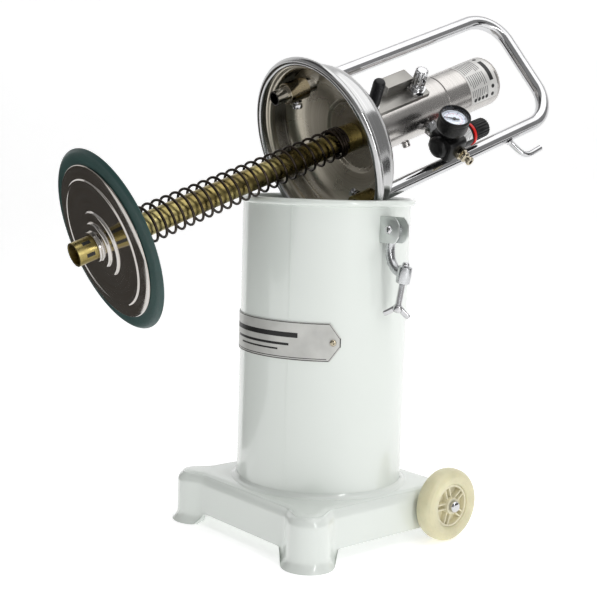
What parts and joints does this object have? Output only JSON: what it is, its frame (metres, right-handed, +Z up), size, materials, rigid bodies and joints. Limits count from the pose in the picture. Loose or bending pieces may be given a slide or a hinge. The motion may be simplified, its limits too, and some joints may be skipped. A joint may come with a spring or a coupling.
{
  "type": "air-operated drum grease pump",
  "caption": "Wheeled drum grease pump: pump head with spring follower, lid, air motor and handle laid across an open drum with swing clamps.",
  "frame": {"origin": "on the floor, below the middle of the bounding box", "axes": "+Z up, the front feet at -Y, the wheels and the handle at +Y, +X to the right seen from the front"},
  "size_m": [0.318, 0.6996, 0.6785],
  "materials": {
    "drum_paint": "glossy white enamel, faintly green-grey, light orange peel",
    "plate_foil": null,
    "rivet_brass": "dull blind rivet",
    "zinc_steel": "bright zinc plate, smooth",
    "bright_zinc": "bright plated, cast texture on the arms",
    "cream_wheel": "moulded cream plastic, slightly waxy",
    "spun_steel": "satin spun rings, polished rolled edge",
    "chrome_tube": "bright chrome, drawn along its length",
    "yellow_zinc": "olive-gold yellow zinc with a dark streak",
    "satin_aluminium": "satin turned aluminium",
    "plain_steel": "ground steel",
    "piston_brass": "turned brass",
    "nickel_brass": "worn nickel plate over brass",
    "black_rubber": "soft matte",
    "polished_plate": "mirror polished, faint ring marks",
    "green_rubber": "dark green moulded rubber",
    "spring_steel": "oiled dark wire",
    "black_plastic": "satin black moulding",
    "red_plastic": "gloss red",
    "dial_white": null,
    "needle_black": "matte black",
    "clear_glass": "clear lens"
  },
  "bodies": {
    "drum": {"drum_shell": "drum_paint", "base_shell": "drum_paint", "name_plate": "plate_foil", "plate_rivet_right": "rivet_brass", "plate_rivet_left": "rivet_brass", "clamp_bracket_right": "zinc_steel", "clamp_bracket_left": "zinc_steel", "clamp_pin_right": "bright_zinc", "clamp_pin_left": "bright_zinc", "axle": "zinc_steel", "axle_cap_right": "bright_zinc", "axle_cap_left": "bright_zinc"},
    "wheel_right": {"wheel_tyre_right": "cream_wheel", "wheel_hub_right": "cream_wheel"},
    "wheel_left": {"wheel_tyre_left": "cream_wheel", "wheel_hub_left": "cream_wheel"},
    "clamp_right": {"clamp_arm_right": "bright_zinc"},
    "pad_right": {"clamp_pad_right": "bright_zinc"},
    "screw_right": {"clamp_screw_right": "bright_zinc"},
    "clamp_left": {"clamp_arm_left": "bright_zinc"},
    "pad_left": {"clamp_pad_left": "bright_zinc"},
    "screw_left": {"clamp_screw_left": "bright_zinc"},
    "head": {"lid": "spun_steel", "handle_tube": "chrome_tube", "leg_sleeve_upper": "yellow_zinc", "leg_sleeve_lower": "yellow_zinc", "sleeve_bolt_upper": "chrome_tube", "sleeve_bolt_lower": "chrome_tube", "hose_hook": "chrome_tube", "motor_casing": "satin_aluminium", "motor_cylinder": "satin_aluminium", "valve_block": "satin_aluminium", "outlet_fitting": "chrome_tube", "vent_body": "chrome_tube", "drain_plug": "satin_aluminium", "pump_tube": "yellow_zinc", "tube_collar": "yellow_zinc", "foot_valve_seat": "plain_steel", "rod_packing": "black_rubber", "regulator_body": "black_plastic", "regulator_ring": "red_plastic", "inlet_adapter": "nickel_brass", "inlet_nipple": "nickel_brass", "gauge_case": "black_plastic", "gauge_dial": "dial_white", "gauge_window": "clear_glass", "follower_spring": "spring_steel"},
    "follower": {"follower_plate": "polished_plate", "follower_seal": "green_rubber", "follower_back_plate": "plain_steel"},
    "outlet_cover": {"outlet_cap": "black_rubber"},
    "vent_handle": {"vent_knob": "chrome_tube"},
    "knob_lock": {"regulator_spindle": "plain_steel"},
    "knob": {"regulator_knob": "black_plastic"},
    "needle": {"gauge_needle": "needle_black"},
    "piston": {"air_piston": "satin_aluminium", "piston_ring": "black_rubber", "piston_rod": "plain_steel", "plunger": "piston_brass"},
    "foot_ball": {"foot_valve_ball": "plain_steel"}
  },
  "joints": [
    {"name": "wheel_right_spin", "type": "hinge", "parent": "drum", "child": "wheel_right", "pos_m": [0.14, 0.09194, 0.046], "axis": [1, 0, 0], "continuous": true},
    {"name": "wheel_left_spin", "type": "hinge", "parent": "drum", "child": "wheel_left", "pos_m": [-0.14, 0.09194, 0.046], "axis": [1, 0, 0], "continuous": true},
    {"name": "clamp_swing_right", "type": "hinge", "parent": "drum", "child": "clamp_right", "pos_m": [0.122, -0.00106, 0.393], "axis": [0, -1, 0], "range_deg": [0, 135]},
    {"name": "clamp_screw_travel_right", "type": "slide", "parent": "clamp_right", "child": "pad_right", "axis": [0.2, 0, 0.9798], "range_m": [0, 0.0125]},
    {"name": "clamp_screw_turn_right", "type": "hinge", "parent": "pad_right", "child": "screw_right", "pos_m": [0.1405, -0.00106, 0.341], "axis": [0.2, 0, 0.9798], "range_deg": [0, 3600]},
    {"name": "clamp_swing_left", "type": "hinge", "parent": "drum", "child": "clamp_left", "pos_m": [-0.122, -0.00106, 0.393], "axis": [0, 1, 0], "range_deg": [0, 135]},
    {"name": "clamp_screw_travel_left", "type": "slide", "parent": "clamp_left", "child": "pad_left", "axis": [-0.2, 0, 0.9798], "range_m": [0, 0.0125]},
    {"name": "clamp_screw_turn_left", "type": "hinge", "parent": "pad_left", "child": "screw_left", "pos_m": [-0.1405, -0.00106, 0.341], "axis": [-0.2, 0, 0.9798], "range_deg": [0, 3600]},
    {"name": "head_lift", "type": "slide", "parent": "drum", "child": "head", "axis": [0, 0, 1], "range_m": [0, 0.3]},
    {"name": "follower_slide", "type": "slide", "parent": "head", "child": "follower", "axis": [0.0816, 0.9331, 0.3502], "range_m": [0, 0.155], "stiffness_N_per_m": 120, "springref_m": -0.1, "deforming": ["follower_spring"]},
    {"name": "outlet_cap_pull", "type": "slide", "parent": "head", "child": "outlet_cover", "axis": [0.617, -0.3233, 0.7175], "range_m": [0, 0.03]},
    {"name": "vent_knob_turn", "type": "hinge", "parent": "head", "child": "vent_handle", "pos_m": [0.01274, 0.12551, 0.53763], "axis": [0.617, -0.3233, 0.7175], "range_deg": [0, 360]},
    {"name": "knob_push", "type": "slide", "parent": "head", "child": "knob_lock", "axis": [-0.0816, -0.9331, -0.3502], "range_m": [0, 0.003]},
    {"name": "regulator_knob_turn", "type": "hinge", "parent": "knob_lock", "child": "knob", "pos_m": [0.06997, 0.14234, 0.49943], "axis": [0.0816, 0.9331, 0.3502], "range_deg": [0, 1440]},
    {"name": "gauge_needle_turn", "type": "hinge", "parent": "head", "child": "needle", "pos_m": [0.09793, 0.12284, 0.53346], "axis": [-0.5893, 0.3286, -0.7381], "range_deg": [0, 270], "stiffness_Nm_per_rad": 0.0005},
    {"name": "piston_stroke", "type": "slide", "parent": "head", "child": "piston", "axis": [0.0816, 0.9331, 0.3502], "range_m": [0, 0.05]},
    {"name": "foot_valve_lift", "type": "slide", "parent": "head", "child": "foot_ball", "axis": [0.0816, 0.9331, 0.3502], "range_m": [0, 0.0035]}
  ],
  "couplings": [
    {"joint": "clamp_screw_turn_right", "follows": "clamp_screw_travel_right", "rad_per_m": 5026.5},
    {"joint": "clamp_screw_turn_left", "follows": "clamp_screw_travel_left", "rad_per_m": 5026.5}
  ]
}
